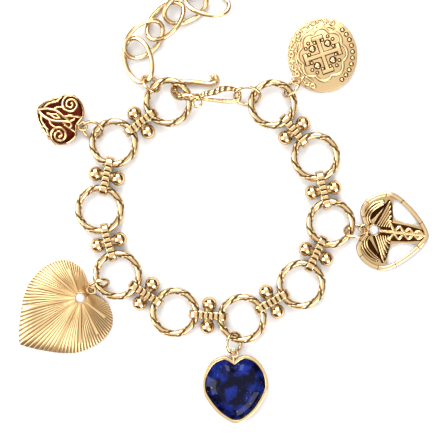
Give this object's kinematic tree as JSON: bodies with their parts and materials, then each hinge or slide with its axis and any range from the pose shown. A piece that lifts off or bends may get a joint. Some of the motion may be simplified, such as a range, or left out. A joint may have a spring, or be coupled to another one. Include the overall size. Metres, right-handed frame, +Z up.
{
  "type": "charm bracelet",
  "caption": "Chain of twisted rings and ball connectors with a hook clasp, an oval-link extender, three openwork or domed hearts, a blue stone heart and a coin, laid flat.",
  "frame": {"origin": "middle of the bracelet's outline in plan, on the surface that it lies on", "axes": "+Z up from the surface; +Y from the blue heart at the bottom of the picture to the extender at its top; +X to the staff heart"},
  "size_m": [0.1104, 0.1174, 0.0058],
  "materials": {
    "gold": "polished",
    "crystal": "polished",
    "lapis": "polished"
  },
  "bodies": {
    "root": {"ring_1": "gold", "ring_2": "gold", "ring_3": "gold", "ring_4": "gold", "ring_5": "gold", "ring_6": "gold", "ring_7": "gold", "ring_8": "gold", "ring_9": "gold", "ring_10": "gold", "connector_1": "gold", "connector_2": "gold", "connector_3": "gold", "connector_4": "gold", "connector_5": "gold", "connector_6": "gold", "connector_7": "gold", "connector_8": "gold", "connector_9": "gold", "extender_link_1": "gold", "extender_link_2": "gold", "extender_link_3": "gold", "extender_link_4": "gold", "extender_link_5": "gold", "hook": "gold", "hook_ring": "gold", "extender_ring": "gold", "filigree_heart": "gold", "filigree_ring": "gold", "sunburst_heart": "gold", "sunburst_ring": "gold", "lapis_setting": "gold", "lapis_ring": "gold", "staff_heart": "gold", "staff_ring": "gold", "coin": "gold", "coin_ring": "gold", "sunburst_crystal": "crystal", "staff_crystal": "crystal", "lapis_stone": "lapis"}
  },
  "joints": []
}
